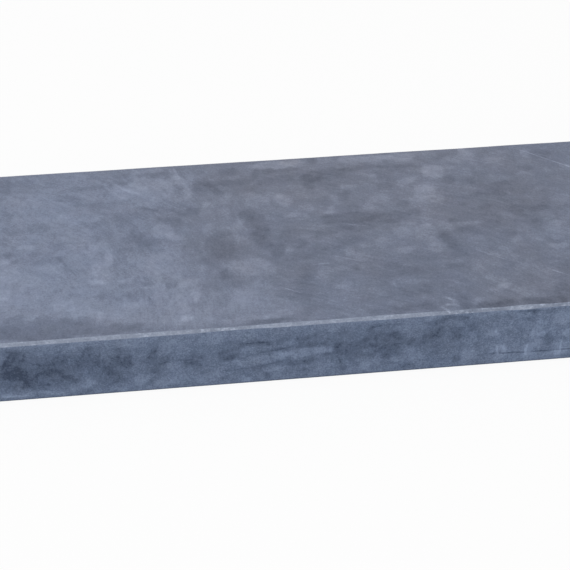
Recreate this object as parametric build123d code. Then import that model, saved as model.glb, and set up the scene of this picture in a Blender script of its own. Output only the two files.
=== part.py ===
"""Straight edge stone for the rim of a pond: one sawn slab of blue limestone.

The long way of the stone runs along X, the pond side faces -Y and the honed top
faces +Z. The origin is the middle of the underside, so the stone lies on Z = 0.
All sizes are in millimetres.
"""

import os

from build123d import *

# The slab, as such stones are sold
slab_length = 1000.0
slab_width = 200.0
slab_thickness = 50.0

# Legs of the 45 degree facet ground along all four edges of the honed top
top_facet = 2.0

# Legs of the light bevel that blunts the four upright corners
corner_bevel = 1.0

# Legs of the light bevel that blunts the four lower edges
lower_bevel = 0.6


def sawn_slab():
    """The block as it leaves the saw, lying on its bed face."""
    return Box(
        slab_length,
        slab_width,
        slab_thickness,
        align=(Align.CENTER, Align.CENTER, Align.MIN),
    )


def finished_stone():
    """The slab with its ground facet and its blunted corners and lower edges."""
    stone = sawn_slab()
    stone = chamfer(stone.edges().group_by(Axis.Z)[-1], top_facet)
    stone = chamfer(stone.edges().filter_by(Axis.Z), corner_bevel)
    return chamfer(stone.edges().group_by(Axis.Z)[0], lower_bevel)


os.makedirs("parts", exist_ok=True)
export_step(finished_stone(), "parts/pond_edge_stone.step")
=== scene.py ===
"""The pond edge stone as it was photographed: honed top, ground facet, darker sawn sides.

The frame is in metres. The stone's own measures here are in millimetres: X along it
from its middle, Y across it from its middle line, Z up from its bed. Tones are steps
of the 0 to 255 display scale.
"""

from functools import reduce
from math import atan2, cos, hypot, radians, sin

import bpy
import numpy as np
from mathutils import Euler, Matrix, Vector, noise


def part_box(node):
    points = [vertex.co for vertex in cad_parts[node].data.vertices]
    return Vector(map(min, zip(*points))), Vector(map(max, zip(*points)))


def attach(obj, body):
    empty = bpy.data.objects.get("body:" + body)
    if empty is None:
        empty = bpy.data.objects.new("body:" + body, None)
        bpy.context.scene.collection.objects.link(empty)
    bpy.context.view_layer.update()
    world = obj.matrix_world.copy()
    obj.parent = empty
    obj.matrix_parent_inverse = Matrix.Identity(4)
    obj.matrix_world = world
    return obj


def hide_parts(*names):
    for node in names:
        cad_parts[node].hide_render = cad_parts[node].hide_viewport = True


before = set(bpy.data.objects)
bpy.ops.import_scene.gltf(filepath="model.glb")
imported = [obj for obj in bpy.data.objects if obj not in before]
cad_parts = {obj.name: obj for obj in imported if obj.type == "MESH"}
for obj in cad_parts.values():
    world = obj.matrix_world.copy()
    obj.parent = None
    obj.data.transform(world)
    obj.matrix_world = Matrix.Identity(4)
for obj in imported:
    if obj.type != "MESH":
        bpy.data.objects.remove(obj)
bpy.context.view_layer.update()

STONE = "pond_edge_stone"
MM = 0.001

low_corner, high_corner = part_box(STONE)
LENGTH, WIDTH, THICKNESS = (high_corner - low_corner) / MM

# Ground and blunted edges, as in the solid
FACET = 2.0
CORNER_BEVEL = 1.0
LOWER_BEVEL = 0.6

# Mesh: rows close to every edge, then even cells, wider ones on the bed
EDGE_ROWS = (0.0, 0.3, 0.6, 1.0, 1.5, 2.0, 2.7, 3.8)
CELL = 2.1
BED_CELLS = 4
BED_RIM_ROW = 2
FACET_ROW = 2.0
FACET_BLEND = 6.0

# The facet's leg is this much wider than in the solid, and wanders so far
FACET_EXTRA = 0.05
FACET_WANDER = 0.25

# Where the front facet is ground narrower or wider: x, half length, change of its leg
FACET_CHANGES = (
    (-30, 26, -0.5),
    (145, 8, -0.35),
    (165, 8, 0.3),
    (187, 11, -0.35),
)

# Depth of the slab's own unevenness: the honed top, and the sawn sides
HONED_RELIEF = 0.06
SAWN_RELIEF = 0.12

# The bake map: its size in mm of stone, the gap between sides, and the smaller sides' scales
MAP_SIZE = 616.0
MAP_GAP = 2.0
BED_SCALE = 0.54
END_SCALE = 0.5

# The part of the length that the photograph shows, how gently the rest joins on, and how far
# off the seeded patches keep
SEEN_LEFT = -205.0
SEEN_RIGHT = 215.0
SEEN_BLEND = 40.0
SEEN_GAP = 3.0

# The photograph's width and the camera that its four long edges give
PHOTO_WIDTH = 570
FOCAL_PIXELS = 1312
SENSOR = 36.0
CAMERA_TILT = 38.64
CAMERA_HEADING = 6.47
CAMERA_DISTANCE = 868.0
CAMERA_RISE = 26.2

# The even light, and the lamps' places (m), sizes (m) and power (W)
SKY_LEVEL = 0.5
LAMPS = (
    ("overhead_lamp", (-0.9, -0.5, 3.0), 2.4, 55.0),
    ("front_lamp", (-1.6, -2.6, 1.5), 1.6, 10.0),
)

# Floor: colour, share of plain white that the camera sees in it, half size (m), height (m)
FLOOR_COLOUR = 0.82
FLOOR_GLOW = 0.91
FLOOR_HALF = 8.0
FLOOR_HEIGHT = -0.0002

# Mean display colours of the faces, as the shader needs them under this light
TOP_COLOUR = (106, 113, 131)
FACET_COLOUR = (134, 143, 161.5)
SIDE_COLOUR = (99, 112.6, 137)

# How far tones go, and how much of a tone goes by share of the colour; the rest is even
TONE_REACH = 45.0
SHARE = 0.25

# One display step of a channel, as a share of its linear colour
HUE_STEP = 0.018

# Tones of the bed beside the sides, and the painted highlight on the facets that the camera can't see
BED_TONE = 4.0
HIDDEN_FACET_PAINTED_LIGHT = 9.0

# Weight of each pattern in a face's tone
HONED_TONES = {"clouds": 38.0, "smears": 40.0, "sweeps": 32.0, "grain": 46.0}
GROUND_TONES = {"grain": 52.0, "clouds": 60.0, "bright": 26.0, "dull": -12.0}
SAWN_TONES = {"flecks": -16.0, "clouds": 88.0, "grain": 76.0, "saw_marks": 26.0, "seams": -13.0}

# The range in which nearly all of a noise lies, and how rough the drifts of hue are
NOISE_RANGE = (-0.3, 0.3)
HUE_ROUGHNESS = 0.75

# Shifts in mm that keep one pattern from following another
MOTTLE_SHIFT = (60.0, 20.0, 0.0)
GREEN_SHIFT = (0.0, 0.0, 70.0)

# Middles of the wide sweeps that honed the top's left part and the rest, and the x range
# in which one gives way to the other
LEFT_SWEEP = (-280.0, -110.0)
MAIN_SWEEP = (-285.0, -750.0)
SWEEP_CHANGE = (10.0, -40.0)

# The sides grow paler towards the facet; near the bed they carry a painted pale band of light
# from the floor, and lowest down a painted contact shadow:
# height where this starts, height where it is full, tone
SIDE_BANDS = (
    (THICKNESS - 9.0, THICKNESS - FACET, 10.0),
    # Painted pale band of light from the floor
    (9.0, 4.0, 5.0),
    # Painted contact shadow along the foot
    (1.7, 0.4, -36.0),
)

# A stroke is full within these shares of its half width and half length
STROKE_CORE = 0.2
STROKE_MIDDLE = 0.4

# Seeded scratches: number, distance from the rim, turn and spread, half length, half width, tone
SCRATCHES = 5
SCRATCH_MARGIN = 15.0
SCRATCH_TURN = (-30.0, 8.0)
SCRATCH_HALF = (7.0, 15.0)
SCRATCH_HALF_WIDTH = 0.9
SCRATCH_TONE = (12.0, 22.0)

# Outline of a patch: 2 is an oval, more is boxier
PATCH_SQUARENESS = 2.6

# A patch's edge fades over this share of its half size, but no more mm than this if it isn't broad
PATCH_EDGE = 0.65
PATCH_FADE = 3.0
BROAD_PATCH = 15.0

# The patches seen are drawn so much stronger, as the cloudiness breaks them up
SEEN_STRENGTH = 1.25

# How far swirls push the patches' outlines about where they are seen, and elsewhere
PATCH_PUSH = 2.4
UNSEEN_PUSH = 5.0

# Seeded patches, by face: how many, the largest half length, and their strength
TOP_SEEDED = (520, 16.0, 12.0)
TOP_BROAD_SEEDED = (9, 70.0, 8.0)
FRONT_SEEDED = (320, 8.0, 16.0)
BACK_SEEDED = (500, 8.0, 16.0)
BED_SEEDED = (300, 24.0, 12.0)
ENDS_SEEDED = (130, 8.0, 16.0)

# Their smallest half length, and the power that makes large ones rare
SMALLEST_PATCH = 1.5
LARGE_RARITY = 2.5

# Their half width by half length, mean turn and spread, and share of the strength, less if small
PATCH_SHAPE = (0.25, 0.8)
PATCH_TURN = (-8.0, 25.0)
PATCH_TONE = (0.4, 1.0)
SMALL_PATCH_SHARE = 0.55
FULL_TONE_HALF = 6.0

# Unseen drift of hue, drift of the facet's tone, and how steeply its changes start
UNSEEN_WARMTH = 1.6
GROUND_DRIFT = 5.0
GROUND_STEEPNESS = 1.4

# Soft patches seen on the honed top: x, y, tone, half length, half width unless it is the same,
# and any turn in degrees
TOP_PATCHES = (
    # Slow changes all along: lighter at the left and darker at the right, painted light falling off along
    # the top
    (-155, -42, 9, 68, 50), (-155, 42, 8, 66, 38), (-150, 88, 4, 62, 12), (-76, -52, 9, 28, 46),
    (-28, -75, 7, 26, 18), (-86, 68, 10, 28, 20, -10), (36, -40, -3, 44, 58), (98, -68, -5, 34, 26),
    (165, -40, -3, 48, 56), (180, 30, -6, 42, 34),
    # Darker band along the front edge at the left, in steps
    (-158, -88, -14, 31, 10.5), (-187, -90, -5, 5, 6), (-178, -75, -10, 9, 4), (-132, -81, -6, 5),
    (-168, -77, 6, 4.5, 4), (-158, -76, -6, 6, 3), (-136, -89, 5, 6, 5), (-114, -92, -9, 17, 5),
    (-98, -91, -8, 6, 5), (-109, -79, 7, 7, 6), (-80, -95, -4, 20, 2), (-8, -95.5, -14, 15, 2.2),
    # Left, front half
    (-187, -47, 10, 6), (-173, -54, 4, 9, 6), (-185, -26, 7, 6, 8), (-172, -34, 5, 9, 6),
    (-189, -10, 6, 4), (-187, -56, 4, 7, 4), (-145, -64, 6, 10, 5), (-135, -72, 7, 9, 4, -10),
    (-127, -64, 5, 4, 5), (-123, -77, 8, 5, 5, -30), (-122, -41, 12, 5, 2.4), (-118, -37, 5, 3, 7),
    (-134, -29, -5, 5, 4), (-115.5, -16, 7, 2.5, 8), (-124, -27, 8, 4, 7), (-122, -59, -11, 4, 3),
    (-112, -55, -5, 10, 6), (-101, -57, -7, 4, 3), (-181, -11, -9, 3), (-165, -7, -5, 14, 7),
    (-161, -13, -6, 6, 4), (-156, -20, 5, 7, 4), (-150, -12, -7, 3, 4), (-145, -19, -5, 12, 2.5, -65),
    (-188, -4, -9, 6, 3.5), (-101, -9, -5, 11, 6), (-107, -26, -7, 6, 13),
    # Left, back half
    (-193, 81, -8, 5, 12), (-178, 86, -4, 10, 6), (-171, 60, 5, 7, 6), (-174, 77, -4, 14, 4),
    (-156, 82, -4, 8, 5), (-136, 91, 5, 5), (-130, 76, -7, 15, 3), (-113, 73, 7, 8, 2, -42),
    (-104, 72, 9, 11, 2.2, -40), (-102, 84, -9, 7), (-107, 76, -8, 8, 6), (-113, 77, -5, 4, 6),
    (-114, 63, -7, 4.5, 8), (-104, 60, -6, 7), (-94, 54, -7, 7, 5), (-108, 63, 5, 8, 2.5, -35),
    (-138, 57, -7, 8, 4, -40), (-125, 53, -5, 6, 3, -10), (-127, 47, -5, 8, 4, -35), (-115, 51, -5, 12, 4),
    (-118, 42, -6, 5, 4, -30), (-146, 63, -5, 8, 4), (-160, 38, 4, 8, 4, -30), (-145, 35, 4, 14, 4, -45),
    (-129, 27, -6, 10, 5), (-165, 28, -7, 8, 6, -30), (-155, 17, -6, 4, 3), (-163, 8, -4, 12, 5),
    (-183, 26, -5, 8, 6), (-190, 43, -6, 5, 8), (-189, 15, -5, 4, 6), (-183, 1, -5, 4, 6),
    (-174, 5, 7, 7, 3), (-150, 2, -11, 6, 4), (-104, 31, -6, 7, 10), (-112, 33, -4, 9, 8),
    (-119, 13, -5, 8, 10, -30), (-122, 1, 6, 7, 5),
    # Middle left, front half
    (-90, -2, -10, 5, 3, -30), (-87, -11, -5, 7, 5), (-91, -42, -11, 8, 6, -30), (-73, -49, -10, 4, 2.5),
    (-75, -44, -5, 5, 4), (-93, -75, -5, 6, 4), (-90, -57, -9, 4.5, 4), (-98, -57, -12, 5, 7),
    (-86, -67, -6, 3, 7, 20), (-63, -51, 7, 6, 3), (-60, -40, -6, 6, 5), (-59, -55, -5, 4, 6),
    (-55, -75, -5, 5, 4), (-66, -67, 5, 5), (-40, -71, -5, 5, 6), (-57, -61, 10, 2.6, 8),
    (-66, -77, 6, 6, 4), (-65, -86, 14, 4.5, 3), (-58, -90, 6, 12, 5), (-30, -92, 4, 16, 3),
    (-37, -88, -5, 6, 4), (-25, -69, 6, 7, 9), (-97, -29, -6, 4, 9), (-97, -46, -7, 12, 3.5),
    (-94, -32, -6, 5, 3), (-56, -17, -5, 9, 14), (-36, -8, -10, 11, 16, -12), (-45, -26, -7, 7, 4),
    (-46, -15, 6, 4, 7), (-27.5, -18, -7, 3, 6), (-26, -1, 8, 7, 4), (-37, -12, -4, 5, 12),
    (-21, -15, -5, 4, 7), (-8, -5, -13, 6, 12, 30), (4, -19, -10, 5, 10), (-19, -35, 10, 15, 9, 6),
    (-35, -42, -13, 4, 5), (-29, -54, -6, 6, 4), (-27, -41, -10, 4), (-3, -38, 10, 4, 7), (-10, -53, 6, 7),
    (-6, -48, -6, 4, 3), (-45, -55, -4, 10, 6), (-50, -68, -6, 4, 7), (-8, -91, 12, 6, 3.5),
    # Middle left, back half
    (-92, 72, 5, 12, 4, -35), (-75, 75, 4, 9, 4, -40), (-65, 88, 9, 10, 2, -75), (-60, 76, 6, 9, 2.5, -70),
    (-54, 80, 7, 4, 8, -10), (-56, 60, 10, 3.5, 6, -10), (-57, 52, 6, 8, 3.5), (-46, 78, 5, 4, 5),
    (-88, 47, 6, 8, 2.2, -35), (-75, 85, -8, 7, 6), (-87, 86, -8, 7, 3.5), (-62, 66, -8, 5, 8),
    (-77, 60, -5, 5), (-72, 50, -4, 6, 4), (-84, 94, 9, 12, 3.5), (-86, 42, -8, 9, 2.2, -28),
    (-92, 35, -5, 5, 6), (-65, 36, -8, 9, 2.2, -35), (-53, 36, -9, 4.5, 5), (-70, 25, -9, 9, 5, -30),
    (-76, 14, 12, 8), (-68, 6, 9, 7, 4, -20), (-90, 18, 4, 6, 4, -20), (-94, 6, -12, 4, 5),
    (-98, 15, -9, 3, 6), (-103, 5, -7, 4), (-85, 2, -7, 6, 4), (-43, 15, 11, 4.5, 4),
    (-44, 44, 7, 4, 4, -50), (-43, 38, 6, 6), (-30, 33, 6, 5, 6), (-68, 37, 5, 6, 3, -35),
    (-27, 48, 5, 4, 5, -60), (-25, 54, 6, 4, 3), (-21, 15, 7, 4, 8, -25), (-31, 14, 5, 4),
    (-14, 27, -13, 6, 7, -30), (-14, 16, -7, 5, 4), (-12, -1, 8, 6, 4), (-7, 20, -10, 5, 6, 30),
    (-5, 6, -12, 6, 9), (-5, 45, 6, 10, 7), (-44, 69, -9, 7, 9), (-30, 71, -9, 16, 4),
    (-22, 62, -4, 16, 9), (-34, 62, -8, 3, 8, 10), (-12, 70, -6, 5), (-4, 78, -11, 3.5, 9, -15),
    (-2, 62, -5, 4, 7), (-23, 85, -9, 8, 6), (-4, 92, 8, 5, 4),
    # Middle right, front half
    (12, -6, -5, 7, 6), (22, -13, -10, 4, 7), (19, -28, -6, 8, 5, 20), (32, -25, -5, 7, 4),
    (11.5, -18, 11, 2.2, 3.6), (43, -10, 5, 9, 4), (28, -6, 6, 6, 4), (43, -20, -6, 8, 2.5, 5),
    (57, -12, -6, 11, 5), (66, -19, 7, 5, 4), (55, -25, 9, 3.5, 5), (47, -34, 5, 5, 4),
    (81, -17, 7, 6, 5, -30), (95, -27, 9, 7, 2.8), (97, -7, 7, 7, 6), (45, -44, 6, 8, 2),
    (34, -49, 6, 6, 8), (62, -32, 6, 5), (56, -44, -7, 3, 4), (23, -47, -6, 5, 10), (19, -61, -5, 5, 17),
    (11, -72, -5, 4), (83, -45, -8, 6, 4), (93, -54, -8, 8, 5), (43, -63.5, 11, 5.5, 3),
    (42, -77, 6, 10, 8), (52, -62, 5, 8), (63, -73, 5, 9, 5), (78, -84, 5, 6, 4), (4, -86, 10, 7, 4.5),
    (19, -86, -6, 4, 5), (5, -77, 6, 8, 4), (88, -60, 7, 5, 5, -40), (80, -65, 8, 2, 4, 25),
    (96, -65, 7, 8, 3), (101, -84, 6, 6, 2, -30), (90, -75, -4, 9, 5), (101, -72, -4, 6, 5),
    (66, -94, -9, 6, 3), (77, -94, -9, 6, 3), (92, -92, -6, 10, 4), (99, -90, -5, 4, 5),
    (30, -92, 5, 11, 5), (46, -90, 4, 5, 6),
    # Middle right, back half
    (17, 91, 12, 20, 5.5), (88, 92, 10, 14, 5), (69, 93, 11, 6, 5), (112, 91, 12, 12, 6),
    (52, 93, 7, 6, 4), (43, 94, -8, 3.5, 4), (16, 83, -8, 16, 3), (79, 79.5, -9, 16, 2.6, 3),
    (109, 78, -9, 17, 2.5, -4), (3, 72, -6, 6, 9), (17, 72, -8, 9, 4), (30, 75, -4, 14, 4),
    (36, 70, -8, 6, 5), (41, 72, -6, 8, 7), (47, 68, -5, 4), (30, 66, -6, 12, 5), (46, 66, -7, 7, 5),
    (37, 61, -8, 3.5, 6), (58, 77, -7, 12, 5), (62, 70, -6, 6, 4), (109, 74, -6, 7, 3.5),
    (55, 68, -3, 26, 12), (79, 71, 9, 6, 2, -28), (86, 67, 9, 3, 3.5), (92, 68, -6, 5, 6),
    (100, 61, -7, 3.5, 5), (65, 55, 10, 7, 4, -20), (111, 57, 11, 9, 4.5, 22), (55, 56, -7, 5),
    (64, 47, -8, 3.5, 3), (60, 42, -8, 5), (44, 39, -5, 5, 6), (37, 53, -7, 2.5, 4), (93, 52, -7, 7, 5),
    (15, 43, 11, 5, 8, 20), (10, 50, 4, 6, 5), (30, 29, 4, 8, 6), (48, 27, 8, 3, 5, -15),
    (24, 22, 8, 9, 2.5, -12), (43, 22, 5, 5, 3), (86, 36, 7, 8, 5, -15), (77, 28, 8, 4, 4, -30),
    (55, 38, 4, 4, 6), (65, 27, -6, 5, 7), (102, 27, -8, 4), (60, 15, -11, 21, 7), (92, 12, -10, 16, 6),
    (84, 19, -7, 5, 4), (109, 17, -7, 6, 5), (86, 5, -6, 7, 4), (102, 6, 7, 7, 4, 10), (65, 5, -8, 14, 7),
    (47, 1, -6, 6, 4), (36, 8, 5, 7, 3, -10), (37, -3, -5, 4, 6), (18, 3, -5, 10, 4),
    # Right, front half
    (113, -9, 6, 8, 10), (116, -27, 9, 5, 7), (128.5, -21, -12, 11, 5, -70), (132, -36, -9, 7, 4),
    (104, -37, -5, 14, 7), (145, -10, -10, 8, 5, -15), (162, -5, -6, 7, 4), (196, -4, -6, 5, 3),
    (172, -16, -5, 6, 4), (147, -22, 5, 6, 4), (208, -8, 8, 6, 5), (213, -13, 5, 5), (205, -18, 7, 7),
    (176, -27, 8, 4.5, 6), (190, -24, 7, 5), (185, -11, 6, 5, 6), (183, -21, 4, 6, 4), (165, -36, 8, 5),
    (168, -45, 6, 4, 5), (153, -38, 5, 8, 2, -25), (155, -43, 6, 5), (205, -35, 14, 8, 3.5),
    (200, -44, 5, 6, 4), (125, -50, -6, 6, 3), (130, -45, 4, 15, 1.5), (145, -49, 4, 6, 4),
    (141, -56, 6, 6, 4, 15), (157, -52, 5, 6, 2.5), (163, -52, -8, 4, 5), (173, -56, 6, 6, 4, 20),
    (150, -67, 10, 7, 4, -30), (130, -67, 4, 8, 6), (154, -75, 10, 6, 3, 15), (148, -79, 7, 8, 3, 15),
    (120, -68, 5, 4, 5, 30), (188, -61, 5, 7, 2, -35), (185, -66, 5, 6, 5), (188, -77, 6, 5, 6),
    (177, -72, -4, 5), (167, -83, 9, 8, 4, -30), (134, -90, 10, 4, 2.5), (123, -94, -14, 4.5, 4),
    (143, -95, -15, 14, 4), (150, -92, -7, 6, 4), (177, -95, -17, 15, 4.5), (193, -88, -12, 6, 11),
    (186, -87, -5, 6, 3), (124, -86, -6, 6, 4), (205, -58, -6, 3, 8), (199, -66, -5, 3, 6),
    # Right, back half
    (133, 68, 13, 9, 9, -15), (146, 73, 5, 4, 5), (122, 42, 10, 8, 9), (125, 32, 8, 8, 5),
    (113, 30, 6, 6, 7), (133, 34, 7, 4), (126, 49, 6, 7, 6), (144, 56, -8, 5), (160, 53, -8, 3.5, 4),
    (148, 87, -6, 7, 5), (116, 85, 6, 6, 3), (161, 94, 10, 4), (155, 84, 9, 7, 6), (166, 83, 8, 4, 10),
    (160, 64, 8, 4, 7), (183, 74, 5, 6, 5), (146, 82, 5, 5, 3, 30), (130, 94, 5, 8, 3),
    (184, 80, 6, 7, 2.5, -20), (212, 81, 8, 4, 8), (181, 55, 8, 8, 5, -15), (203, 56, 9, 7, 5),
    (205, 48, 7, 5, 4), (190, 88, 5, 10, 2.5), (211, 86, 6, 5, 3, -40), (182, 45, -5, 10, 3),
    (176, 36, -6, 8, 6), (198, 76, -5, 5, 6), (205, 65, -5, 6, 4), (168, 91, 6, 4), (160, 34, -6, 5, 3),
    (163, 18, -6, 5, 4), (186, 13, -9, 7, 5), (202, 12, -7, 9, 5), (136, 4, -9, 5, 4), (128, -3, 7, 6),
    (146, 48, 5, 6, 3, 15), (151, 40, 6, 10, 6), (156, 21, 5, 6, 4, -15), (118, 11, 6, 5),
    (116, 3, 7, 3, 6), (127, 18, -4, 6, 4), (176, 6, 8, 4, 7, 35), (207, 3, 7, 5), (209, 37, 8, 3, 4),
    (202, 27, 5, 6), (146, -1, 9, 10, 2.5), (160, 3, 5, 6, 3), (192, -50, -5, 10, 3),
)

# Stains and pale places seen on the sawn front, in the same order with z for y
FRONT_PATCHES = (
    # Slow changes all along
    (-166, 24, -11, 32, 14), (-117, 22, -6, 14, 13), (50, 30, -3, 52, 11), (172, 24, 6, 34, 28),
    # Left end
    (-184, 33, -17, 2.4, 5, -15), (-184, 22, -17, 5, 4), (-178, 25, -15, 6, 5), (-176, 22, -8, 6, 3),
    (-181, 28, -6, 5, 2, 25), (-177, 29, -7, 2, 3), (-174, 14, -15, 3, 4.5, -20), (-173, 17.5, -7, 2, 4),
    (-167, 20, -8, 5, 2.2, 30), (-158, 23, -13, 6, 3, 15), (-150, 22, -14, 2.2, 3),
    (-146, 18.5, -13, 4, 2, 15), (-142, 14, -11, 2.5, 2), (-160, 24, -5, 13, 4), (-149, 35, -8, 2.5, 6),
    (-155, 30, -8, 5, 3), (-177, 39, -16, 5, 6), (-170, 43, -5, 5, 3), (-181, 42, -8, 4),
    (-164, 37, 4, 10, 3), (-130, 41, -12, 1.8, 3.5, -20), (-134, 34, -11, 4, 8, -20),
    (-127, 32, -13, 4, 4, 20), (-132, 24, -7, 4), (-124, 27, -9, 3, 2.5), (-119, 21, -11, 3.5, 6, 30),
    (-114, 15, -7, 4, 6, 30), (-112, 28, -11, 5, 6), (-106, 27, -13, 3, 7), (-118, 6, -8, 3, 2),
    # The narrow pale patches at z 4 to 5, from x -187 to -113, are a painted pale strip of light from the
    # floor along the foot
    (-135, 3, -13, 5, 1.5), (-132, 10, 14, 3.5, 5), (-143, 7, 9, 3), (-187, 5, 20, 6, 2),
    (-175, 4.5, 10, 6, 1.6), (-157, 5, 10, 8, 2), (-187, 38, 7, 2, 3), (-104, 43, 9, 5, 4),
    (-110, 38, -9, 4, 3), (-138, 44, 6, 5, 3), (-113, 4, 9, 5, 1.6), (-97, 10, 14, 5), (-138, 20, 5, 4),
    # Middle left
    (-82, 7, 12, 6, 3), (-73, 8, 7, 6, 3), (-75, 21, 9, 4, 2.6), (-71, 14, 6, 8, 6), (-72, 41, 9, 11, 3.2),
    (-55, 41, 8, 2.5, 4), (-47, 41, 11, 6, 4), (-80, 36, 5, 3, 5), (-95, 43, 7, 4), (-68, 34, 7, 5, 4),
    (-47, 11, 9, 5), (-43, 17, 6, 4, 3), (-58, 8, 8, 6, 4), (-88, 33, -11, 3.5, 5, -10), (-89, 25, -8, 6),
    (-78, 27, -9, 4, 3), (-83, 24, -10, 3, 1.8, 15), (-88, 17, -12, 4.5, 2.5), (-92, 7, -8, 4, 3),
    (-62, 28, -8, 3.5), (-65, 23, -8, 3, 2.2), (-56, 27, -10, 2.5, 1.6), (-61, 20, -11, 7, 3),
    (-39, 26.5, -12, 5, 4.5), (-37, 24, -14, 2.6, 3), (-35, 30, -6, 3, 4), (-36, 37, -5, 5, 3),
    (-14, 36, -20, 4.5, 2), (-26, 34, -11, 8, 2.5, 5), (-3, 36, -8, 6, 2), (-17, 27, -7, 7, 1, 8),
    (-4, 28, -10, 6, 2.2, 3), (-20, 20, 8, 12, 3.5, 5), (-32, 19, 7, 6, 2), (-24, 29, 7, 5, 3),
    (-26, 42, 6, 9, 3.5), (-5, 24, 12, 4.5, 4), (-28, 4, 11, 4, 2), (-7, 11, 13, 7, 4.5),
    (-25, 14, -6, 5, 1.5), (-15, 13.5, -11, 6, 3, 8), (-9, 15.5, -6, 6, 1.8, 5), (-42, 6, -9, 2, 2.5),
    (-12, 6, -9, 3),
    # Middle right, with a pale bar over a darker field
    (3, 32, 8, 5, 3.5), (14, 24, 15, 17.5, 3.8, 2), (32, 26, 9, 3), (9.5, 33, -9, 1.4, 4.5),
    (18, 38, -7, 5, 2, 10), (15, 35, -5, 5, 3), (14, 30, -11, 16, 2), (27, 21.5, -8, 5, 1.5),
    (36, 28, -12, 2.6, 4.5), (36.5, 22, -14, 3, 2.2), (40, 25, -7, 4, 6), (38, 40, -8, 2.5, 3),
    (47, 22, -9, 5, 8), (52, 30, -9, 3.5, 2, 30), (56, 37, -9, 3, 2.5), (67, 29, -9, 15, 8),
    (74, 33, -10, 4, 2.6), (58, 41.5, -11, 3.5, 1, 20), (63, 44, -10, 4, 1.2), (65, 21, -9, 3, 2.2),
    (64, 18, -5, 11, 4), (74, 18, -8, 5), (69, 14, -9, 3), (85.5, 28, -12, 3.5, 2.6, 10),
    (92, 24, -10, 3, 2.6), (84, 5, -12, 5, 2), (98.5, 27.5, -13, 5), (14, 16, -11, 8, 3),
    (5, 16, -7, 5, 3), (13, 7, -10, 2, 3, 15), (37, 16, -8, 1.8, 3.6, 35), (40, 6, -8, 3, 2),
    (28, 11, 9, 7, 4), (22, 6, 7, 3), (55, 7, 16, 4, 3), (60, 11, 8, 6, 4), (34, 43, 9, 5, 3),
    (56, 21, 5, 3, 4), (80, 39, 6, 5, 2.5), (75, 37.5, 8, 5, 2.4), (85, 42, 6, 5, 2), (85, 35, 5, 6, 4),
    (92, 38, 5, 5, 4), (85, 18, 8, 4, 3), (78, 12, 7, 5, 3), (90, 12, 9, 5, 4), (82, 9, 5, 8, 2),
    # Right end
    (105, 33, -10, 4, 6), (102, 37, -9, 5, 3.5), (99, 45, 6, 5, 2), (112, 44.5, -9, 12, 2.6, 4),
    (121, 45, -9, 3, 1.8), (118, 33, -11, 4), (116, 28, -6, 5, 2.5), (127, 36, -9, 3.5),
    (108, 18, -9, 6, 5), (118, 7, -12, 2.2, 3.6), (144, 10.5, -11, 2, 1.5), (114, 14, 6, 6, 5),
    (152, 43, -8, 3, 2), (169, 45.5, -22, 7, 1.8), (156, 46.5, -9, 6, 1), (182, 45, -11, 4, 1.2),
    (188, 45, -9, 6, 3), (168, 39, -11, 6, 2), (163, 42.5, 7, 5, 2), (179, 29, -16, 2),
    (183, 20, -16, 3.5, 4), (175, 10, -14, 3, 1.5), (180, 9, -11, 2, 1.5), (118, 39, 8, 4, 2, -45),
    (128, 12, 13, 5), (128, 23, 5, 5, 4), (126, 6, 12, 2.2, 3.2), (142, 29, 8, 5, 4), (149, 11, 15, 6),
    (167, 8, 12, 1.8, 2.2), (173, 12, 15, 5, 6.5), (175, 26, 15, 6, 4), (174, 34, 7, 4), (190, 38, 7, 7),
    (194, 24, 14, 4, 3), (191, 6, 12, 1.8, 2.6), (184, 6, 6, 6, 3), (193, 10, 13, 6, 8),
    (160, 26, -6, 5, 4), (135, 44, 7, 4, 2),
)

# Slow drifts of hue over the top, in the same order with warmth, in steps of red, for tone
TOP_HUES = (
    # The first drift, bluer over the left part of the top, is a painted reflection of the sky
    (-205, -10, -1.8, 150, 110), (30, -80, -1, 110, 30), (120, 50, 0.9, 110, 60), (10, 75, 0.9, 60, 30),
    (190, -85, 0.9, 50, 22), (-30, 0, 0.6, 30, 40), (26, 94, 1.6, 8, 5),
)

# Where the front facet is ground duller or brighter: x, half length, tone
FACET_TONES = (
    (-42, 24, -6),
    (108, 16, -8),
    (123, 14, -11),
    (145, 7, -20),
    (163, 7, 3),
    (184, 14, -17),
)

# Scratches and smears on the top: x and y of the two ends, half width, tone
TOP_STROKES = (
    (0, -59, 17, -69, 0.9, 22), (53, 9, 76, 2, 0.8, 20), (183, -56, 212, -77, 0.9, 19),
    (199, 97.5, 262, 44.5, 0.9, 26), (141, -31, 168, -51, 0.8, 15), (37, -26, 66, -40, 1, 15),
    (22, -38, 42, -37, 1, 13), (-119, 77, -103, 56, 1.8, 10), (-113, 82, -94, 60, 1.8, 9),
    (-89, 79, -70, 60, 1.6, 8), (-66, 99, -60, 78, 1.3, 16), (-62, 84, -53, 60, 1.6, 9),
    (-80, 55, -58, 36, 1.1, 10), (-73, 42, -58, 31, 1.4, -9), (-92, 46, -76, 38, 1.6, -8),
    (-147, 37, -124, 17, 1.1, 9), (-24, 32, -13, 0, 1.4, 9), (-152, -6, -138, -34, 1.6, -6),
    (-90, -58, -83, -74, 1.1, -10), (-162, 52, -140, 33, 1.4, 6), (-98, 26, -89, 8, 1.2, -10),
    (109, -82, 119.5, -89, 1.6, 34), (116, -87, 115, -93, 1.5, 16), (105.5, -94, 113, -90.8, 1.7, 20),
    (109, -91, 119.5, -92.2, 1.5, 16), (116, -91, 122, -96.5, 1.6, 18),
    (105.5, -92.5, 112.5, -99.5, 1.7, 22),
)
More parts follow.
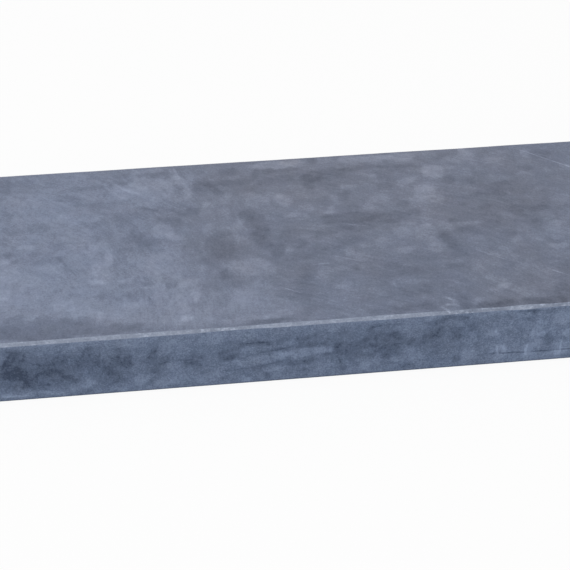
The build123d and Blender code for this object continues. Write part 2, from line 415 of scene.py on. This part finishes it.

# Hair cracks, dark seams and pale saw streaks on the front, and low at the left a painted pale
# line of light from the floor: x and z of the ends, half width, tone
FRONT_STROKES = (
    (139, 10, 160, 9.6, 1, -32), (152, 9.7, 174, 8.8, 0.9, -32), (170, 9.9, 185, 8.7, 1.1, -38),
    (178, 8.5, 208, 9.6, 0.9, -36), (56, 40.5, 68, 44, 1.1, -24), (64, 43.4, 82, 42.8, 0.9, -16),
    (154, 46.6, 184, 45.6, 1.3, -22), (99, 43, 122, 46.2, 1.2, -12), (-32, 35, -8, 36, 1.2, -19),
    (-30, 22.5, -20, 26.5, 0.9, -20), (-21, 26.5, 2, 29, 0.9, -17), (16, 21, 35, 21.6, 0.9, -12),
    (-46, 12.5, -20, 14, 1, -12), (-24, 14, 4, 18.5, 1.1, -18), (-86, 22.5, -76, 26, 1.1, -20),
    (-76, 26, -60, 25, 1, -18), (-11, 28, -9.5, 19, 0.9, -18), (36, 18, 40, 10, 1, -18),
    (8.5, 40, 10, 29, 0.9, -14), (145.5, 18, 144.5, 7, 1, -16), (146.5, 19, 147.5, 7, 1.1, 32),
    (168, 18, 167.5, 5, 1.3, 38), (192.5, 20, 191.5, 3, 1.2, 26), (145, 33, 145.5, 28, 1.6, 30),
    (151, 22, 152, 8, 1.1, 10), (171, 32, 170, 20, 1.2, 11), (176, 22, 176.5, 9, 1.1, 9),
    (187, 33, 186.5, 20, 1.1, 10), (-131, 45, -136, 31, 1.2, -16), (-184, 38, -188, 28, 1.4, -20),
    # Painted pale line of light from the floor along the foot, at the left
    (-196, 4.2, -168, 4, 0.9, 18), (-163, 4, -140, 4.4, 0.8, 12),
)


class Shader:
    """The nodes of a material or of the world, and short ways to add more. Sizes are in mm."""

    def __init__(self, owner, surface="Principled BSDF"):
        owner.use_nodes = True
        self.owner = owner
        self.tree = owner.node_tree
        self.surface = self.tree.nodes[surface]

    def add(self, kind, inputs=(), **settings):
        node = self.tree.nodes.new(kind)
        for key, value in settings.items():
            setattr(node, key, value)
        for key, value in dict(inputs).items():
            self.feed(node.inputs[key], value)
        return node

    def feed(self, socket, value):
        if isinstance(value, bpy.types.NodeSocket):
            self.tree.links.new(value, socket)
        else:
            socket.default_value = value

    def math(self, operation, first, second=0.0):
        return self.add("ShaderNodeMath", {0: first, 1: second}, operation=operation).outputs[0]

    def sum(self, *values):
        return reduce(lambda total, value: self.math("ADD", total, value), values)

    def times(self, *values):
        return reduce(lambda product, value: self.math("MULTIPLY", product, value), values)

    def weighted(self, weights, *start, **patterns):
        """The sum of any start values and of the named patterns, each times its weight."""
        return self.sum(*start, *[self.times(patterns[name], weights[name]) for name in patterns])

    def vector(self, operation, first, second, third=(0.0, 0.0, 0.0)):
        inputs = {0: first, 1: second, 2: third}
        return self.add("ShaderNodeVectorMath", inputs, operation=operation).outputs[0]

    def axes(self, place):
        return self.add("ShaderNodeSeparateXYZ", {0: place}).outputs

    def joined(self, x, y, z=0.0):
        return self.add("ShaderNodeCombineXYZ", {0: x, 1: y, 2: z}).outputs[0]

    def attribute(self, name):
        return self.add("ShaderNodeAttribute", attribute_name=name).outputs["Fac"]

    def place(self, stretch=(1.0, 1.0, 1.0), shift=(0.0, 0.0, 0.0)):
        """The point on the stone in mm, divided by stretch along each axis, then shifted."""
        own = self.add("ShaderNodeTexCoord").outputs["Object"]
        return self.vector("MULTIPLY_ADD", own, [1.0 / (MM * s) for s in stretch], shift)

    def noise(self, place, size, detail=2.0, roughness=0.5):
        """Noise about 0, whose largest clouds have the given size."""
        inputs = {"Vector": place, "Scale": 1.0 / size, "Detail": detail, "Roughness": roughness}
        return self.math("SUBTRACT", self.add("ShaderNodeTexNoise", inputs).outputs[0], 0.5)

    def hue(self, place, size, detail, steps):
        """A drift of hue: noise with clouds of the given size, times its strength in steps."""
        return self.times(self.noise(place, size, detail, HUE_ROUGHNESS), steps)

    def warp(self, place, size, reach):
        """The place pushed about by up to reach mm, in swirls of the given size."""
        inputs = {"Vector": place, "Scale": 1.0 / size, "Detail": 2.0}
        push = self.add("ShaderNodeTexNoise", inputs).outputs["Color"]
        even = self.vector("SUBTRACT", push, (0.5, 0.5, 0.5))
        return self.vector("MULTIPLY_ADD", even, [2.0 * reach] * 3, place)

    def line(self, value, over, to, **settings):
        """A straight climb through the range to, while value goes through the range over."""
        inputs = dict(enumerate((value, *over, *to)))
        return self.add("ShaderNodeMapRange", inputs, **settings).outputs[0]

    def step(self, value, over, to=(0.0, 1.0)):
        """A soft step through the range to, while value goes through the range over."""
        return self.line(value, over, to, interpolation_type="SMOOTHSTEP")

    def rings(self, place, centre, along):
        """Coordinates that follow circles about a centre: across them, and shortened along them."""
        x, y, _ = self.axes(place)
        dx = self.math("SUBTRACT", x, centre[0])
        dy = self.math("SUBTRACT", y, centre[1])
        radius = self.math("SQRT", self.sum(self.times(dx, dx), self.times(dy, dy)))
        turn = self.math("ARCTAN2", dy, dx)
        return self.joined(radius, self.times(turn, hypot(*centre) / along))

    def swept(self, place, on_left, along, **pattern):
        """Noise drawn out along the left part's honing sweeps where on_left is 1, else the rest's."""
        left = self.noise(self.rings(place, LEFT_SWEEP, along), **pattern)
        main = self.noise(self.rings(place, MAIN_SWEEP, along), **pattern)
        return self.sum(main, self.times(on_left, self.math("SUBTRACT", left, main)))

    def stroke(self, place, ends, half_width):
        """1 on a thin straight stroke between two points of the place's first two axes, else 0."""
        x0, y0, x1, y1 = ends
        centre = ((x0 + x1) / 2, (y0 + y1) / 2, 0.0)
        turn = atan2(y1 - y0, x1 - x0)
        inputs = {"Vector": self.vector("SUBTRACT", place, centre), "Angle": -turn}
        turned = self.add("ShaderNodeVectorRotate", inputs, rotation_type="Z_AXIS").outputs[0]
        along, across, _ = self.axes(turned)
        half = hypot(x1 - x0, y1 - y0) / 2
        thin = self.step(self.math("ABSOLUTE", across), (half_width, STROKE_CORE * half_width))
        short = self.step(self.math("ABSOLUTE", along), (half, STROKE_MIDDLE * half))
        return self.times(thin, short)

    def strokes(self, place, given):
        """The tone of all the strokes of a list of ends, half width and tone."""
        drawn = [self.times(self.stroke(place, s[:4], s[4]), float(s[5])) for s in given]
        return self.sum(*drawn)

    def colour(self, tone, middle, warmth=0.0, green=0.0):
        """The middle colour, lighter or darker by tone, redder by warmth and greener by green."""
        factor = self.line(tone, over=(-TONE_REACH, TONE_REACH), to=(0.0, 1.0))
        ramp = self.add("ShaderNodeValToRGB", {0: factor})
        stops = ramp.color_ramp.elements
        stops.new(0.5)
        for stop, shift in zip(stops, (-TONE_REACH, 0.0, TONE_REACH)):
            stop.color = shifted(middle, shift)
        tint = self.joined(
            self.sum(1.0, self.times(warmth, HUE_STEP)),
            self.sum(1.0, self.times(green, HUE_STEP)),
            self.sum(1.0, self.times(warmth, -HUE_STEP)),
        )
        return self.vector("MULTIPLY", ramp.outputs[0], tint)

    def bump(self, height, depth):
        """Relief of depth mm for a height of 0 to 1."""
        inputs = {"Height": height, "Distance": depth * MM, "Strength": 1.0}
        return self.add("ShaderNodeBump", inputs).outputs[0]


def linear(step):
    """A display value of 0 to 255 as linear light."""
    value = step / 255.0
    return value / 12.92 if value <= 0.04045 else ((value + 0.055) / 1.055) ** 2.4


def shifted(middle, shift):
    """The linear colour of a display colour made lighter or darker by shift steps."""
    ratio = 1.0 + shift / (sum(middle) / 3.0)
    evened = [SHARE * c * ratio + (1.0 - SHARE) * (c + shift) for c in middle]
    return (*[linear(c) for c in evened], 1.0)


def finish(shader, colour, relief, pattern, roughness, depth, gloss):
    """Feeds one stone material's surface. The pattern makes its roughness uneven."""
    inputs = shader.surface.inputs
    shader.feed(inputs["Base Color"], colour)
    shader.feed(inputs["Roughness"], shader.line(pattern, over=NOISE_RANGE, to=roughness))
    shader.feed(inputs["Normal"], shader.bump(relief, depth))
    inputs["Specular IOR Level"].default_value = gloss
    return shader.owner


def honed_top():
    """Cloudy blue-grey limestone, honed in wide sweeps, with pale scratches."""
    s = Shader(bpy.data.materials.new("honed_limestone"))
    place = s.place()
    clouds = s.noise(s.warp(place, size=20.0, reach=4.0), size=7.0, detail=7.0, roughness=0.8)
    blotched = s.warp(s.place(shift=MOTTLE_SHIFT), size=12.0, reach=3.0)
    mottle = s.noise(blotched, size=6.0, detail=5.0, roughness=0.75)
    far = s.warp(place, size=60.0, reach=10.0)
    on_left = s.step(s.axes(far)[0], over=SWEEP_CHANGE)
    smears = s.swept(far, on_left, along=3.0, size=6.0, detail=7.0, roughness=0.78)
    sweeps = s.swept(far, on_left, along=7.0, size=2.6, detail=4.0, roughness=0.7)
    sweeps = s.times(sweeps, s.step(s.noise(place, size=50.0), over=(-0.12, 0.12), to=(0.5, 1.0)))
    grain = s.noise(place, size=1.2, roughness=0.8)
    patches = s.times(s.attribute("tone"), s.line(mottle, over=NOISE_RANGE, to=(0.6, 1.4)))
    tone = s.weighted(HONED_TONES, patches, clouds=clouds, smears=smears, sweeps=sweeps, grain=grain)
    broken = s.step(s.noise(place, size=4.0), over=(-0.15, 0.1), to=(0.45, 1.0))
    scratched = s.warp(place, size=14.0, reach=0.7)
    scratches = s.strokes(scratched, (*TOP_STROKES, *unseen_scratches()))
    tone = s.sum(tone, s.times(broken, scratches))
    warmth = s.sum(s.attribute("warmth"), s.hue(place, size=38.0, detail=6.0, steps=6.0))
    green = s.hue(s.place(shift=GREEN_SHIFT), size=14.0, detail=5.0, steps=3.0)
    relief = s.sum(s.times(clouds, 0.6), s.times(sweeps, 0.3), s.times(grain, 0.5))
    colour = s.colour(tone, TOP_COLOUR, warmth, green)
    return finish(s, colour, relief, clouds, roughness=(0.48, 0.68), depth=0.07, gloss=0.3)


def unseen_scratches():
    """Seeded pale scratches for the stretches of the top that the photograph doesn't show."""
    draw = np.random.default_rng(seed=5)
    rim = WIDTH / 2 - SCRATCH_MARGIN
    made = []
    for low, high in ((-LENGTH / 2, SEEN_LEFT), (SEEN_RIGHT, LENGTH / 2)):
        for _ in range(SCRATCHES):
            x = draw.uniform(low + SCRATCH_MARGIN, high - SCRATCH_MARGIN)
            y = draw.uniform(-rim, rim)
            turn = radians(draw.normal(*SCRATCH_TURN))
            half = draw.uniform(*SCRATCH_HALF)
            dx, dy = half * cos(turn), half * sin(turn)
            tone = draw.uniform(*SCRATCH_TONE)
            made.append((x - dx, y - dy, x + dx, y + dy, SCRATCH_HALF_WIDTH, tone))
    return made


def ground_facet():
    """The light, freshly ground strip along the edges of the top, with a painted highlight on it away from
    the front.
    """
    s = Shader(bpy.data.materials.new("ground_limestone"))
    place = s.place()
    grain = s.noise(place, size=1.3, roughness=0.8)
    clouds = s.noise(s.warp(place, size=20.0, reach=3.0), size=8.0, detail=6.0, roughness=0.8)
    ground = s.attribute("ground")
    patchy = s.line(s.math("ABSOLUTE", ground), over=(1.0, 7.0), to=(0.4, 1.0))
    crystals = s.noise(s.place(stretch=(1.5, 1.0, 1.0)), size=2.4, roughness=0.6)
    bright = s.times(s.step(crystals, over=(0.02, 0.16)), patchy)
    dull = s.times(s.step(crystals, over=(-0.02, -0.16)), patchy)
    tone = s.weighted(GROUND_TONES, ground, grain=grain, clouds=clouds, bright=bright, dull=dull)
    colour = s.colour(tone, FACET_COLOUR, s.hue(place, size=20.0, detail=4.0, steps=3.0))
    relief = s.sum(grain, clouds)
    return finish(s, colour, relief, grain, roughness=(0.5, 0.7), depth=0.08, gloss=0.3)


def sawn_face(name, is_bed=False):
    """A sawn face: darker and bluer, with smoky stains, seams and fine saw marks."""
    s = Shader(bpy.data.materials.new(name))
    place = s.place()
    clouds = s.noise(s.warp(place, size=14.0, reach=3.0), size=5.0, detail=7.0, roughness=0.82)
    blotched = s.warp(s.place(shift=MOTTLE_SHIFT), size=8.0, reach=2.5)
    mottle = s.noise(blotched, size=4.0, detail=6.0, roughness=0.8)
    grain = s.noise(place, size=1.2, roughness=0.8)
    patches = s.attribute("tone")
    stained = s.line(patches, over=(-2.0, -14.0), to=(0.0, 1.0))
    patches = s.times(patches, s.line(mottle, over=NOISE_RANGE, to=(0.4, 1.6)))
    flecks = s.times(stained, s.step(s.noise(place, size=2.6), over=(0.04, 0.2)))
    stretch = (1.0, 40.0, 1.0) if is_bed else (1.0, 1.0, 9.0)
    saw_marks = s.noise(s.place(stretch=stretch), size=1.8, detail=3.0, roughness=0.6)
    marked = s.step(s.noise(s.place(shift=(40.0, 0.0, 0.0)), size=40.0), over=(0.0, 0.14))
    veined = s.noise(s.warp(place, size=14.0, reach=4.0), size=16.0, detail=4.0, roughness=0.6)
    seams = s.step(s.math("ABSOLUTE", veined), over=(0.012, 0.001))
    seamed = s.step(s.noise(s.place(shift=(80.0, 0.0, 30.0)), size=28.0), over=(0.06, 0.16))
    own = (BED_TONE,) if is_bed else side_marks(s, place)
    tone = s.weighted(
        SAWN_TONES,
        patches,
        *own,
        flecks=flecks,
        clouds=clouds,
        grain=grain,
        saw_marks=s.times(saw_marks, marked),
        seams=s.times(seams, seamed),
    )
    warmth = s.hue(place, size=24.0, detail=6.0, steps=5.0)
    green = s.hue(s.place(shift=GREEN_SHIFT), size=10.0, detail=5.0, steps=3.0)
    relief = s.sum(s.times(clouds, 0.7), s.times(mottle, 0.4), s.times(saw_marks, 0.2))
    colour = s.colour(tone, SIDE_COLOUR, warmth, green)
    return finish(s, colour, relief, clouds, roughness=(0.55, 0.8), depth=0.16, gloss=0.25)


def side_marks(s, place):
    """Tones of the bands along the sides, and of the strokes, which lie on the front only."""
    x, y, z = s.axes(place)
    # The bands hold a painted pale band of floor light near the bed and a painted contact shadow at the
    # foot
    bands = [s.step(z, over=(start, full), to=(0.0, tone)) for start, full, tone in SIDE_BANDS]
    broken = s.step(s.noise(place, size=5.0), over=(-0.12, 0.1), to=(0.5, 1.0))
    on_front = s.step(y, over=(0.5 - WIDTH / 2, 0.2 - WIDTH / 2))
    strokes = s.strokes(s.warp(s.joined(x, z), size=7.0, reach=1.3), FRONT_STROKES)
    return *bands, s.times(broken, on_front, strokes)


def studio_floor():
    """Pale floor that the camera sees as white, with the stone's shadow kept."""
    s = Shader(bpy.data.materials.new("studio_floor"))
    s.surface.inputs["Base Color"].default_value = (*[FLOOR_COLOUR] * 3, 1.0)
    s.surface.inputs["Roughness"].default_value = 1.0
    s.surface.inputs["Specular IOR Level"].default_value = 0.0
    glow = s.add("ShaderNodeEmission", {"Color": (1.0, 1.0, 1.0, 1.0), "Strength": 1.0})
    share = s.times(seen_rays(s), FLOOR_GLOW)
    mixed = s.add("ShaderNodeMixShader", {0: share, 1: s.surface.outputs[0], 2: glow.outputs[0]})
    s.feed(s.tree.nodes["Material Output"].inputs["Surface"], mixed.outputs[0])
    return s.owner


def seen_rays(shader):
    """1 for the rays that show the background: to the camera, in gloss and through glass."""
    ray = shader.add("ShaderNodeLightPath").outputs
    direct = shader.math("MAXIMUM", ray["Is Camera Ray"], ray["Is Glossy Ray"])
    return shader.math("MAXIMUM", direct, ray["Is Transmission Ray"])


def rows(size):
    """Places of the mesh's rows across a side of the given size, close together at both ends."""
    edge = np.array(EDGE_ROWS)
    count = 2 * round((size - 2 * edge[-1]) / CELL / 2)
    middle = np.linspace(edge[-1], size - edge[-1], count + 1)
    return np.concatenate([edge[:-1], middle, (size - edge[:-1])[::-1]])


def box_lattice():
    """Points on a sharp box, and its faces by side, as lists of point numbers."""
    xs, ys, zs = rows(LENGTH), rows(WIDTH), rows(THICKNESS)
    shape = (len(xs), len(ys), len(zs))
    outer = np.ones(shape, bool)
    outer[1:-1, 1:-1, 1:-1] = False
    number = np.full(shape, -1)
    number[outer] = np.arange(outer.sum())
    i, j, k = np.nonzero(outer)
    points = np.stack([xs[i], ys[j], zs[k]], axis=1)
    points -= (LENGTH / 2, WIDTH / 2, 0.0)
    sides = {
        "top": quads(number[:, :, -1]),
        "bed": bed_polygons(number[:, :, 0]),
        "front": quads(number[:, 0, :]),
        "back": quads(number[:, -1, :], flipped=True),
        "left": quads(number[0, :, :], flipped=True),
        "right": quads(number[-1, :, :]),
    }
    return without_loose(points, sides)


def quads(grid, flipped=False):
    """The quads of a grid of point numbers, turned over if flipped."""
    corners = [grid[:-1, :-1], grid[1:, :-1], grid[1:, 1:], grid[:-1, 1:]]
    around = np.stack([c.ravel() for c in corners], axis=1)
    return (around[:, ::-1] if flipped else around).tolist()


def bed_polygons(grid):
    """The bed's wide cells, which keep every point of the rim so that the mesh stays closed."""
    last = [size - 1 for size in grid.shape]
    stops = [
        [0, *range(BED_RIM_ROW, end - BED_RIM_ROW, BED_CELLS), end - BED_RIM_ROW, end]
        for end in last
    ]
    polygons = []
    for i0, i1 in zip(stops[0], stops[0][1:]):
        for j0, j1 in zip(stops[1], stops[1][1:]):
            low = range(i0, i1) if j0 == 0 else (i0,)
            right = range(j0, j1) if i1 == last[0] else (j0,)
            high = range(i1, i0, -1) if j1 == last[1] else (i1,)
            left = range(j1, j0, -1) if i0 == 0 else (j1,)
            ring = [(i, j0) for i in low] + [(i1, j) for j in right]
            ring += [(i, j1) for i in high] + [(i0, j) for j in left]
            polygons.append([int(grid[place]) for place in reversed(ring)])
    return polygons


def without_loose(points, sides):
    """The same faces on only the points that they use."""
    used = np.unique([number for faces in sides.values() for face in faces for number in face])
    renamed = np.full(len(points), -1)
    renamed[used] = np.arange(len(used))
    sides = {
        side: [[int(renamed[number]) for number in face] for face in faces]
        for side, faces in sides.items()
    }
    return points[used], sides


def field(points, size, seed, octaves=3):
    """Smooth noise of about -1 to 1 at each point, with clouds of the given size in mm."""
    scaled = points / size + seed
    return np.array([noise.fractal(Vector(p), 1.0, 2.0, octaves) for p in scaled])


def facet_legs(points):
    """How wide the ground facet is at each point: it wanders, with a few small nicks."""
    legs = FACET + FACET_EXTRA + FACET_WANDER * field(points, size=45.0, seed=3.0)
    for x, half, change in FACET_CHANGES:
        near = np.clip(1.0 - ((points[:, 0] - x) / half) ** 2, 0.0, 1.0)
        legs += change * near * (points[:, 1] < 0)
    return legs


def shift_rows(distance, legs):
    """Moves the rows near an edge so that the row at the facet's nominal leg lies on its leg."""
    inner = distance * legs / FACET_ROW
    share = (distance - FACET_ROW) / (FACET_BLEND - FACET_ROW)
    outer = legs + share * (FACET_BLEND - legs)
    moved = np.where(distance < FACET_ROW, inner, outer)
    return np.where(distance < FACET_BLEND, moved, distance)


def cut(points, first, second, leg):
    """Takes the edge between two outward directions, (axis, sign) each, off at 45 degrees."""
    half = (LENGTH / 2, WIDTH / 2, THICKNESS / 2)
    over = leg
    for axis, sign in (first, second):
        centre = THICKNESS / 2 if axis == 2 else 0.0
        over = over + sign * (points[:, axis] - centre) - half[axis]
    over = np.clip(over, 0.0, None) / 2
    for axis, sign in (first, second):
        points[:, axis] -= sign * over


def worn(sharp):
    """The sharp box's points moved onto the stone, with its facet, bevels and saw marks."""
    points = sharp.copy()
    legs = facet_legs(sharp)
    for axis, half in ((0, LENGTH / 2), (1, WIDTH / 2)):
        edge = half - np.abs(sharp[:, axis])
        points[:, axis] = np.sign(sharp[:, axis]) * (half - shift_rows(edge, legs))
    points[:, 2] = THICKNESS - shift_rows(THICKNESS - sharp[:, 2], legs)
    up, down = (2, 1), (2, -1)
    ends = ((0, -1), (0, 1))
    flanks = ((1, -1), (1, 1))
    for side in flanks + ends:
        cut(points, side, up, legs)
    for end in ends:
        for side in flanks:
            cut(points, side, end, CORNER_BEVEL)
    for side in flanks + ends:
        cut(points, side, down, LOWER_BEVEL)
    on = faces_of(sharp)
    top = on["top"]
    points[top, 2] -= HONED_RELIEF * hollows(sharp[top], size=70.0, seed=11.0)
    for side, axis, inward in (("front", 1, 1), ("back", 1, -1), ("left", 0, 1), ("right", 0, -1)):
        squeezed = sharp[on[side]] * (1.0, 1.0, 3.0)
        points[on[side], axis] += inward * SAWN_RELIEF * hollows(squeezed, size=24.0, seed=17.0)
    return points


def hollows(points, size, seed):
    """Shallow unevenness of 0 to 2, for moving points inwards."""
    return (1.0 + field(points, size, seed, octaves=4)).clip(0.0, 2.0)


def faces_of(sharp):
    """Which points lie on each face of the sharp box; a shared one goes to the first that has it."""
    close = 0.001
    x, y, z = sharp.T
    tests = {
        "top": z > THICKNESS - close,
        "front": y < close - WIDTH / 2,
        "back": y > WIDTH / 2 - close,
        "left": x < close - LENGTH / 2,
        "right": x > LENGTH / 2 - close,
        "bed": z < close,
    }
    free = np.ones(len(sharp), bool)
    found = {}
    for side, test in tests.items():
        found[side] = test & free
        free &= ~test
    return found


def patch(across, along, x, y, tone, half_length, half_width=None, turn=0.0):
    """The tone that one soft patch, between an oval and a box, gives to points of a face."""
    half_width = half_width or half_length
    angle = radians(turn)
    dx, dy = across - x, along - y
    u = np.abs(dx * cos(angle) + dy * sin(angle)) / half_length
    v = np.abs(dy * cos(angle) - dx * sin(angle)) / half_width
    out = (u ** PATCH_SQUARENESS + v ** PATCH_SQUARENESS) ** (1.0 / PATCH_SQUARENESS)
    small = min(half_length, half_width)
    edge = PATCH_EDGE if small > BROAD_PATCH else min(PATCH_EDGE, PATCH_FADE / small)
    inside = np.clip((1.0 + edge / 2 - out) / edge, 0.0, 1.0)
    return tone * inside * inside * (3.0 - 2.0 * inside)


def seeded_patches(draw, lines, across, count, largest, strength):
    """Seeded patches, like those seen, at random on the given stretches and range across."""
    made = []
    weights = np.diff(lines)[:, 0] / np.diff(lines).sum()
    for _ in range(count):
        low, high = lines[draw.choice(len(lines), p=weights)]
        x, y = draw.uniform(low, high), draw.uniform(*across)
        half_length = SMALLEST_PATCH + draw.uniform(0.0, 1.0) ** LARGE_RARITY * largest
        half_width = half_length * draw.uniform(*PATCH_SHAPE)
        fullness = min(1.0, half_length / FULL_TONE_HALF)
        fade = strength * (SMALL_PATCH_SHARE + (1.0 - SMALL_PATCH_SHARE) * fullness)
        tone = draw.choice((-1.0, 1.0)) * draw.uniform(*PATCH_TONE) * fade
        made.append((x, y, tone, half_length, half_width, draw.normal(*PATCH_TURN)))
    return made


def painted(sharp):
    """Tone and warmth of every point, and the facet's own tone: as seen, and seeded elsewhere."""
    draw = np.random.default_rng(seed=41)
    on = faces_of(sharp)
    seen_middle, seen_half = (SEEN_LEFT + SEEN_RIGHT) / 2, (SEEN_RIGHT - SEEN_LEFT) / 2
    outside = np.abs(sharp[:, 0] - seen_middle) - seen_half
    beyond = np.clip(outside / SEEN_BLEND + 0.5, 0.0, 1.0)
    free = np.where(on["top"] | on["front"], beyond, 1.0)
    reach = PATCH_PUSH + free * (UNSEEN_PUSH - PATCH_PUSH)
    swirls = [field(sharp, 10.0, seed, octaves=4) for seed in (23.0, 29.0, 31.0)]
    x, y, z = sharp.T + reach * np.stack(swirls)
    across, height = (-WIDTH / 2, WIDTH / 2), (0.0, THICKNESS)
    whole = [(-LENGTH / 2, LENGTH / 2)]
    unseen = [(-LENGTH / 2, SEEN_LEFT - SEEN_GAP), (SEEN_RIGHT + SEEN_GAP, LENGTH / 2)]
    ends = on["left"] | on["right"]
    work = (
        (TOP_PATCHES, x, y, on["top"], SEEN_STRENGTH),
        (FRONT_PATCHES, x, z, on["front"], SEEN_STRENGTH),
        (seeded_patches(draw, unseen, across, *TOP_SEEDED), x, y, on["top"], 1.0),
        (seeded_patches(draw, unseen, across, *TOP_BROAD_SEEDED), x, y, on["top"], 1.0),
        (seeded_patches(draw, unseen, height, *FRONT_SEEDED), x, z, on["front"], 1.0),
        (seeded_patches(draw, whole, height, *BACK_SEEDED), x, z, on["back"], 1.0),
        (seeded_patches(draw, whole, across, *BED_SEEDED), x, y, on["bed"], 1.0),
        (seeded_patches(draw, [across], height, *ENDS_SEEDED), y, z, ends, 1.0),
    )
    tone = np.zeros(len(sharp))
    for patches, u, v, where, strength in work:
        for given in patches:
            tone[where] += strength * patch(u[where], v[where], *given)
    warmth = UNSEEN_WARMTH * field(sharp, size=160.0, seed=37.0) * beyond
    for given in TOP_HUES:
        warmth += patch(x, y, *given)
    ground = GROUND_DRIFT * field(sharp, size=30.0, seed=43.0)
    # Painted highlight on the facets away from the front, which the lamps light less
    ground += HIDDEN_FACET_PAINTED_LIGHT * np.clip((y + WIDTH / 2 - FACET_BLEND) / FACET_BLEND, 0.0, 1.0)
    for middle, half, shift in FACET_TONES:
        near = np.clip(GROUND_STEEPNESS * (1.0 - np.abs(x - middle) / half), 0.0, 1.0)
        ground += shift * near * (y < 0)
    return {"tone": tone, "warmth": warmth, "ground": ground}


def bake_places(side, points, right_half):
    """Bake map places for corners of one side's faces; the long sides lie there as two halves."""
    x, y, z = (points + (LENGTH / 2, WIDTH / 2, 0.0)).T
    along = x - right_half * LENGTH / 2
    row = WIDTH + MAP_GAP
    low_row = THICKNESS + MAP_GAP
    column = LENGTH / 2 + 2 * MAP_GAP
    end_lift = LENGTH * BED_SCALE + MAP_GAP
    places = {
        "top": (along, y + right_half * row),
        "front": (along, z + 2 * row + right_half * low_row),
        "back": (along, z + 2 * row + (2 + right_half) * low_row),
        "bed": (column + y * BED_SCALE, x * BED_SCALE),
        "left": (column + y * END_SCALE, end_lift + z * END_SCALE),
        "right": (column + y * END_SCALE, end_lift + MAP_GAP + (THICKNESS + z) * END_SCALE),
    }
    return (np.stack(places[side], axis=1) + MAP_GAP / 2) / MAP_SIZE


def face_materials(side, middles):
    """The material number of each face of a side: 0 honed, 1 ground, 2 sawn, 3 bed."""
    x, y, z = middles.T
    inset = np.minimum(LENGTH / 2 - np.abs(x), WIDTH / 2 - np.abs(y))
    if side == "top":
        return np.where(inset < FACET_ROW, 1, 0)
    if side == "bed":
        return np.full(len(middles), 3)
    return np.where(THICKNESS - z < FACET_ROW, 1, 2)


def linked(name, data):
    """A new object in the scene."""
    made = bpy.data.objects.new(name, data)
    bpy.context.scene.collection.objects.link(made)
    return made


def make_stone():
    """The stone as one closed mesh."""
    sharp, sides = box_lattice()
    faces = [face for group in sides.values() for face in group]
    mesh = bpy.data.meshes.new("honed_pond_edge_stone")
    mesh.from_pydata((worn(sharp) * MM).tolist(), [], faces)
    materials, bake = [], []
    for side, group in sides.items():
        counts = np.array([len(face) for face in group])
        corners = sharp[[number for face in group for number in face]]
        starts = np.cumsum(counts) - counts
        middles = np.add.reduceat(corners, starts, axis=0) / counts[:, None]
        materials.append(face_materials(side, middles))
        bake.append(bake_places(side, corners, np.repeat(middles[:, 0] > 0, counts)))
    mesh.polygons.foreach_set("material_index", np.concatenate(materials))
    mesh.polygons.foreach_set("use_smooth", np.ones(len(faces), bool))
    layer = mesh.uv_layers.new(name="OFBake")
    layer.data.foreach_set("uv", np.concatenate(bake).ravel())
    for name, values in painted(sharp).items():
        mesh.attributes.new(name, "FLOAT", "POINT").data.foreach_set("value", values)
    mesh.materials.append(honed_top())
    mesh.materials.append(ground_facet())
    mesh.materials.append(sawn_face("sawn_limestone"))
    mesh.materials.append(sawn_face("sawn_limestone_bed", is_bed=True))
    mesh.update()
    stone = linked("honed_pond_edge_stone", mesh)
    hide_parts(STONE)
    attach(stone, "root")


def make_floor():
    """A wide plain floor just under the stone."""
    around = ((-1, -1), (1, -1), (1, 1), (-1, 1))
    corners = [(x * FLOOR_HALF, y * FLOOR_HALF, FLOOR_HEIGHT) for x, y in around]
    mesh = bpy.data.meshes.new("floor")
    mesh.from_pydata(corners, [], [(0, 1, 2, 3)])
    mesh.materials.append(studio_floor())
    linked("floor", mesh)


def make_light():
    """Even surroundings, seen as pale as the far floor, and two large soft lamps."""
    sky = Shader(bpy.data.worlds.new("studio"), surface="Background")
    bpy.context.scene.world = sky.owner
    far_floor = FLOOR_GLOW + (1.0 - FLOOR_GLOW) * FLOOR_COLOUR * SKY_LEVEL
    strength = sky.line(seen_rays(sky), over=(0.0, 1.0), to=(SKY_LEVEL, far_floor))
    sky.feed(sky.surface.inputs["Color"], (1.0, 1.0, 1.0, 1.0))
    sky.feed(sky.surface.inputs["Strength"], strength)
    for name, spot, size, power in LAMPS:
        lamp = bpy.data.lights.new(name, "AREA")
        lamp.shape = "DISK"
        lamp.size = size
        lamp.energy = power
        holder = linked(name, lamp)
        holder.location = spot
        holder.rotation_euler = (-Vector(spot)).to_track_quat("-Z", "Y").to_euler()


def make_camera():
    """The photograph's camera, placed from the middle of the stone's front upper edge."""
    turn = Euler((radians(90.0 - CAMERA_TILT), 0.0, radians(-CAMERA_HEADING))).to_matrix()
    edge = Vector((0.0, -WIDTH / 2, THICKNESS))
    spot = edge + turn @ Vector((0.0, CAMERA_RISE, CAMERA_DISTANCE))
    data = bpy.data.cameras.new("camera")
    data.sensor_width = SENSOR
    data.lens = SENSOR * FOCAL_PIXELS / PHOTO_WIDTH
    camera = linked("camera", data)
    camera.matrix_world = Matrix.LocRotScale(spot * MM, turn, None)
    bpy.context.scene.camera = camera


bpy.context.scene.view_settings.view_transform = "Standard"
make_camera()
make_light()
make_floor()
make_stone()
